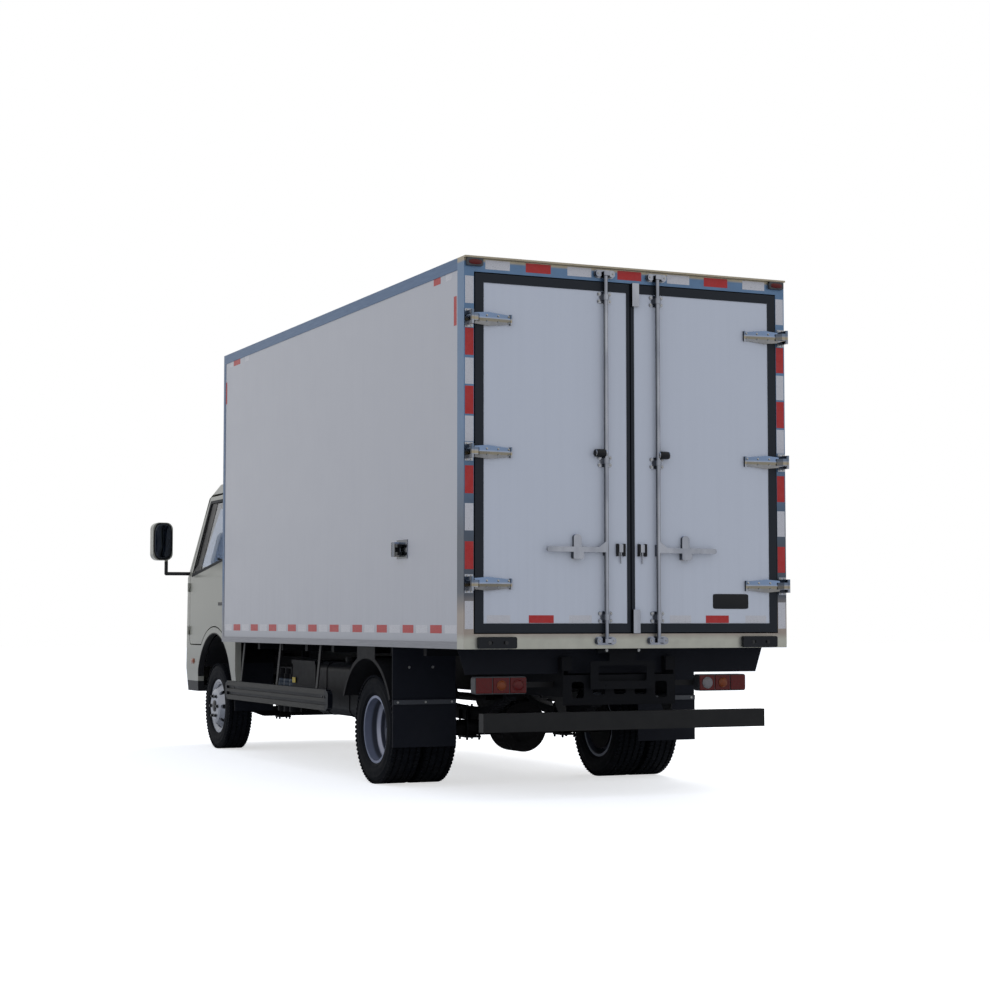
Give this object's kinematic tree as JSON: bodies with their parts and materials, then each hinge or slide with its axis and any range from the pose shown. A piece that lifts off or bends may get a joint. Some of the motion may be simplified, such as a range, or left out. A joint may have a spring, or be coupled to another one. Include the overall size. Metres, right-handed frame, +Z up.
{
  "type": "refrigerated light box truck",
  "caption": "Light refrigerated box truck: insulated body with two rear doors, cab over the engine, steered front wheels and twin rear wheels on a ladder frame.",
  "frame": {"origin": "on the ground, on the centre plane, at the middle of the overall length", "axes": "+X forward, +Y to the truck's left, +Z up"},
  "size_m": [6.1255, 2.352, 2.9239],
  "materials": {
    "box_panel": "smooth white composite skin",
    "edge_aluminium": "anodised extrusion",
    "stainless": "brushed stainless",
    "zinc_chrome": "polished plating",
    "black_rubber": "matte",
    "tyre": "matte, treaded",
    "wheel_silver": "silver paint",
    "chassis_black": "satin black paint",
    "cab_paint": "gloss off-white paint",
    "bumper_paint": "gloss off-white paint, black lower lip",
    "glass": "clear",
    "lamp_lens": "red lens",
    "headlamp": "clear lens",
    "trim_grey": "grained",
    "seat_cloth": "woven",
    "guard_aluminium": "extruded",
    "guard_plastic": "moulded",
    "cast": "rough",
    "unit_shell": "white moulding",
    "tank_metal": "black paint",
    "mirror_case": "off-white case"
  },
  "bodies": {
    "chassis": {"box_floor": "box_panel", "box_roof": "box_panel", "box_left_wall": "box_panel", "box_right_wall": "box_panel", "box_front_wall": "box_panel", "box_edge_rails": "edge_aluminium", "rear_frame": "stainless", "frame_fittings": "zinc_chrome", "rubber_buffers": "black_rubber", "cooling_unit": "unit_shell", "frame_rails": "chassis_black", "box_subframe": "chassis_black", "front_axle": "cast", "rear_axle": "cast", "leaf_springs": "chassis_black", "engine_block": "cast", "fuel_tank": "tank_metal", "battery_box": "tank_metal", "exhaust": "tank_metal", "rear_fenders": "guard_plastic", "front_liners": "guard_plastic", "mud_flaps": "black_rubber", "side_guards": "guard_aluminium", "underrun_bar": "chassis_black", "rear_valance": "guard_plastic", "plate_bracket": "chassis_black", "rear_lamps": "lamp_lens", "cab_shell": "cab_paint", "front_bumper": "bumper_paint", "headlamps": "headlamp", "windscreen": "glass", "seats": "seat_cloth", "dashboard": "trim_grey", "mirrors": "mirror_case"},
    "cargo_door_left": {"left_cargo_door": "box_panel", "left_cargo_door_seal": "black_rubber", "left_cargo_door_fittings": "zinc_chrome"},
    "cab_door_left": {"left_cab_door": "cab_paint", "left_cab_door_glass": "glass"},
    "knuckle_left": {"left_knuckle": "cast"},
    "wheel_front_left": {"front_left_tyre": "tyre", "front_left_rim": "wheel_silver"},
    "wheels_rear_left": {"rear_left_tyres": "tyre", "rear_left_rims": "wheel_silver"},
    "cargo_door_right": {"right_cargo_door": "box_panel", "right_cargo_door_seal": "black_rubber", "right_cargo_door_fittings": "zinc_chrome"},
    "cab_door_right": {"right_cab_door": "cab_paint", "right_cab_door_glass": "glass"},
    "knuckle_right": {"right_knuckle": "cast"},
    "wheel_front_right": {"front_right_tyre": "tyre", "front_right_rim": "wheel_silver"},
    "wheels_rear_right": {"rear_right_tyres": "tyre", "rear_right_rims": "wheel_silver"}
  },
  "joints": [
    {"name": "steer_left", "type": "hinge", "parent": "chassis", "child": "knuckle_left", "pos_m": [2.118, 0.628, 0.322], "axis": [0, 0, 1], "range_deg": [-34, 34]},
    {"name": "steer_right", "type": "hinge", "parent": "chassis", "child": "knuckle_right", "pos_m": [2.118, -0.628, 0.322], "axis": [0, 0, 1], "range_deg": [-34, 34]},
    {"name": "spin_front_left", "type": "hinge", "parent": "knuckle_left", "child": "wheel_front_left", "pos_m": [2.118, 0.76, 0.322], "axis": [0, 1, 0], "continuous": true},
    {"name": "spin_rear_left", "type": "hinge", "parent": "chassis", "child": "wheels_rear_left", "pos_m": [-1.502, 0.745, 0.322], "axis": [0, 1, 0], "continuous": true},
    {"name": "swing_cab_door_left", "type": "hinge", "parent": "chassis", "child": "cab_door_left", "pos_m": [2.807, 0.8905, 1.1], "axis": [0, 0, -1], "range_deg": [0, 68]},
    {"name": "swing_cargo_door_left", "type": "hinge", "parent": "chassis", "child": "cargo_door_left", "pos_m": [-3.053, 0.98, 1.87], "axis": [0, 0, -1], "range_deg": [0, 265]},
    {"name": "spin_front_right", "type": "hinge", "parent": "knuckle_right", "child": "wheel_front_right", "pos_m": [2.118, -0.76, 0.322], "axis": [0, 1, 0], "continuous": true},
    {"name": "spin_rear_right", "type": "hinge", "parent": "chassis", "child": "wheels_rear_right", "pos_m": [-1.502, -0.745, 0.322], "axis": [0, 1, 0], "continuous": true},
    {"name": "swing_cab_door_right", "type": "hinge", "parent": "chassis", "child": "cab_door_right", "pos_m": [2.807, -0.8905, 1.1], "axis": [0, 0, 1], "range_deg": [0, 68]},
    {"name": "swing_cargo_door_right", "type": "hinge", "parent": "chassis", "child": "cargo_door_right", "pos_m": [-3.053, -0.98, 1.87], "axis": [0, 0, 1], "range_deg": [0, 265]}
  ],
  "couplings": [
    {"joint": "steer_right", "follows": "steer_left", "ratio": 1}
  ]
}
